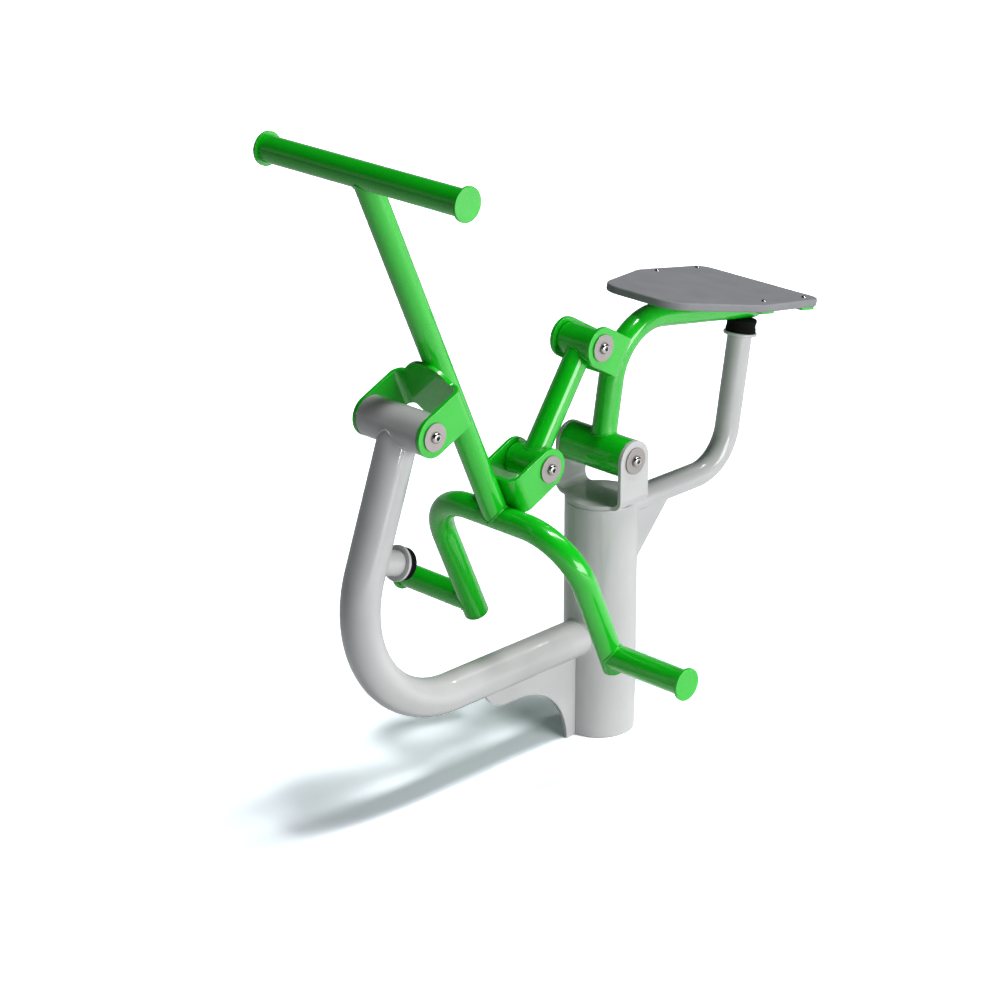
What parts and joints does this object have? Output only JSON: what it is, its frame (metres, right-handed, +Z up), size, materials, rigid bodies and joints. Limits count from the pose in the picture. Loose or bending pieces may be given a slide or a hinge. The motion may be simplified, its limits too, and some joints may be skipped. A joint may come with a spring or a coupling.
{
  "type": "outdoor gym rider",
  "caption": "Free-standing outdoor exercise rider: a board seat on a rocking lever, linked to a second lever with a handlebar and foot pegs.",
  "frame": {"origin": "centre of the post's foot, at ground level", "axes": "+Z up, +X forward from the seat to the handlebar, +Y to the rider's left"},
  "size_m": [1.117, 0.739, 1.2563],
  "materials": {
    "green_powder_coat": "glossy bright green powder coat on steel",
    "grey_powder_coat": "satin light grey powder coat on steel",
    "seat_board": "matte grey solid board",
    "black_rubber": "black moulded rubber",
    "stainless_steel": "plain stainless steel",
    "bush_plastic": "off-white slide bearing plastic"
  },
  "bodies": {
    "frame": {"post": "grey_powder_coat", "post_clevis": "grey_powder_coat", "front_beam": "grey_powder_coat", "front_hub": "grey_powder_coat", "front_gusset": "grey_powder_coat", "rear_beam": "grey_powder_coat", "rear_gusset": "grey_powder_coat", "front_stop_stub": "grey_powder_coat", "front_stop_flange": "grey_powder_coat", "front_buffer": "black_rubber", "rear_stop_flange": "grey_powder_coat", "rear_buffer": "black_rubber", "front_pivot_bush": "bush_plastic", "seat_pivot_axle": "stainless_steel", "seat_pivot_washer_left": "stainless_steel", "seat_pivot_washer_right": "stainless_steel", "seat_pivot_screw_left": "stainless_steel", "seat_pivot_screw_right": "stainless_steel"},
    "handle_lever": {"lever_tube": "green_powder_coat", "handlebar": "green_powder_coat", "handlebar_cap_left": "green_powder_coat", "handlebar_cap_right": "green_powder_coat", "lever_front_bracket": "green_powder_coat", "lever_rear_bracket": "green_powder_coat", "foot_bar": "green_powder_coat", "foot_peg_left": "green_powder_coat", "foot_peg_right": "green_powder_coat", "foot_peg_cap_left": "green_powder_coat", "foot_peg_cap_right": "green_powder_coat", "front_pivot_axle": "stainless_steel", "front_pivot_washer_left": "stainless_steel", "front_pivot_washer_right": "stainless_steel", "front_pivot_screw_left": "stainless_steel", "front_pivot_screw_right": "stainless_steel", "lower_pivot_washer_left": "stainless_steel", "lower_pivot_washer_right": "stainless_steel", "lower_pivot_screw_left": "stainless_steel", "lower_pivot_screw_right": "stainless_steel"},
    "seat_lever": {"seat_hub": "green_powder_coat", "seat_lever_tube": "green_powder_coat", "seat_lever_bracket": "green_powder_coat", "seat_front_rail": "green_powder_coat", "seat_rear_rail": "green_powder_coat", "seat_plate": "seat_board", "seat_screw_front_left": "stainless_steel", "seat_screw_front_right": "stainless_steel", "seat_screw_rear_left": "stainless_steel", "seat_screw_rear_right": "stainless_steel", "seat_pivot_bush": "bush_plastic", "upper_pivot_axle": "stainless_steel", "upper_pivot_washer_left": "stainless_steel", "upper_pivot_washer_right": "stainless_steel", "upper_pivot_screw_left": "stainless_steel", "upper_pivot_screw_right": "stainless_steel"},
    "link": {"link_tube": "green_powder_coat", "link_lower_hub": "green_powder_coat", "link_upper_hub": "green_powder_coat", "lower_pivot_axle": "stainless_steel", "lower_pivot_bush": "bush_plastic", "upper_pivot_bush": "bush_plastic"}
  },
  "joints": [
    {"name": "handle_swing", "type": "hinge", "parent": "frame", "child": "handle_lever", "pos_m": [0.522, 0, 0.7564], "axis": [0, -1, 0], "range_deg": [0, 43]},
    {"name": "seat_swing", "type": "hinge", "parent": "frame", "child": "seat_lever", "pos_m": [0, 0, 0.5692], "axis": [0, 1, 0], "range_deg": [0, 69]},
    {"name": "link_swing", "type": "hinge", "parent": "seat_lever", "child": "link", "pos_m": [0.05428, 0, 0.79651], "axis": [0, -1, 0], "range_deg": [0, 74.7]}
  ],
  "couplings": [
    {"joint": "seat_swing", "follows": "handle_swing", "ratio": 1.602},
    {"joint": "link_swing", "follows": "handle_swing", "ratio": 1.734}
  ]
}
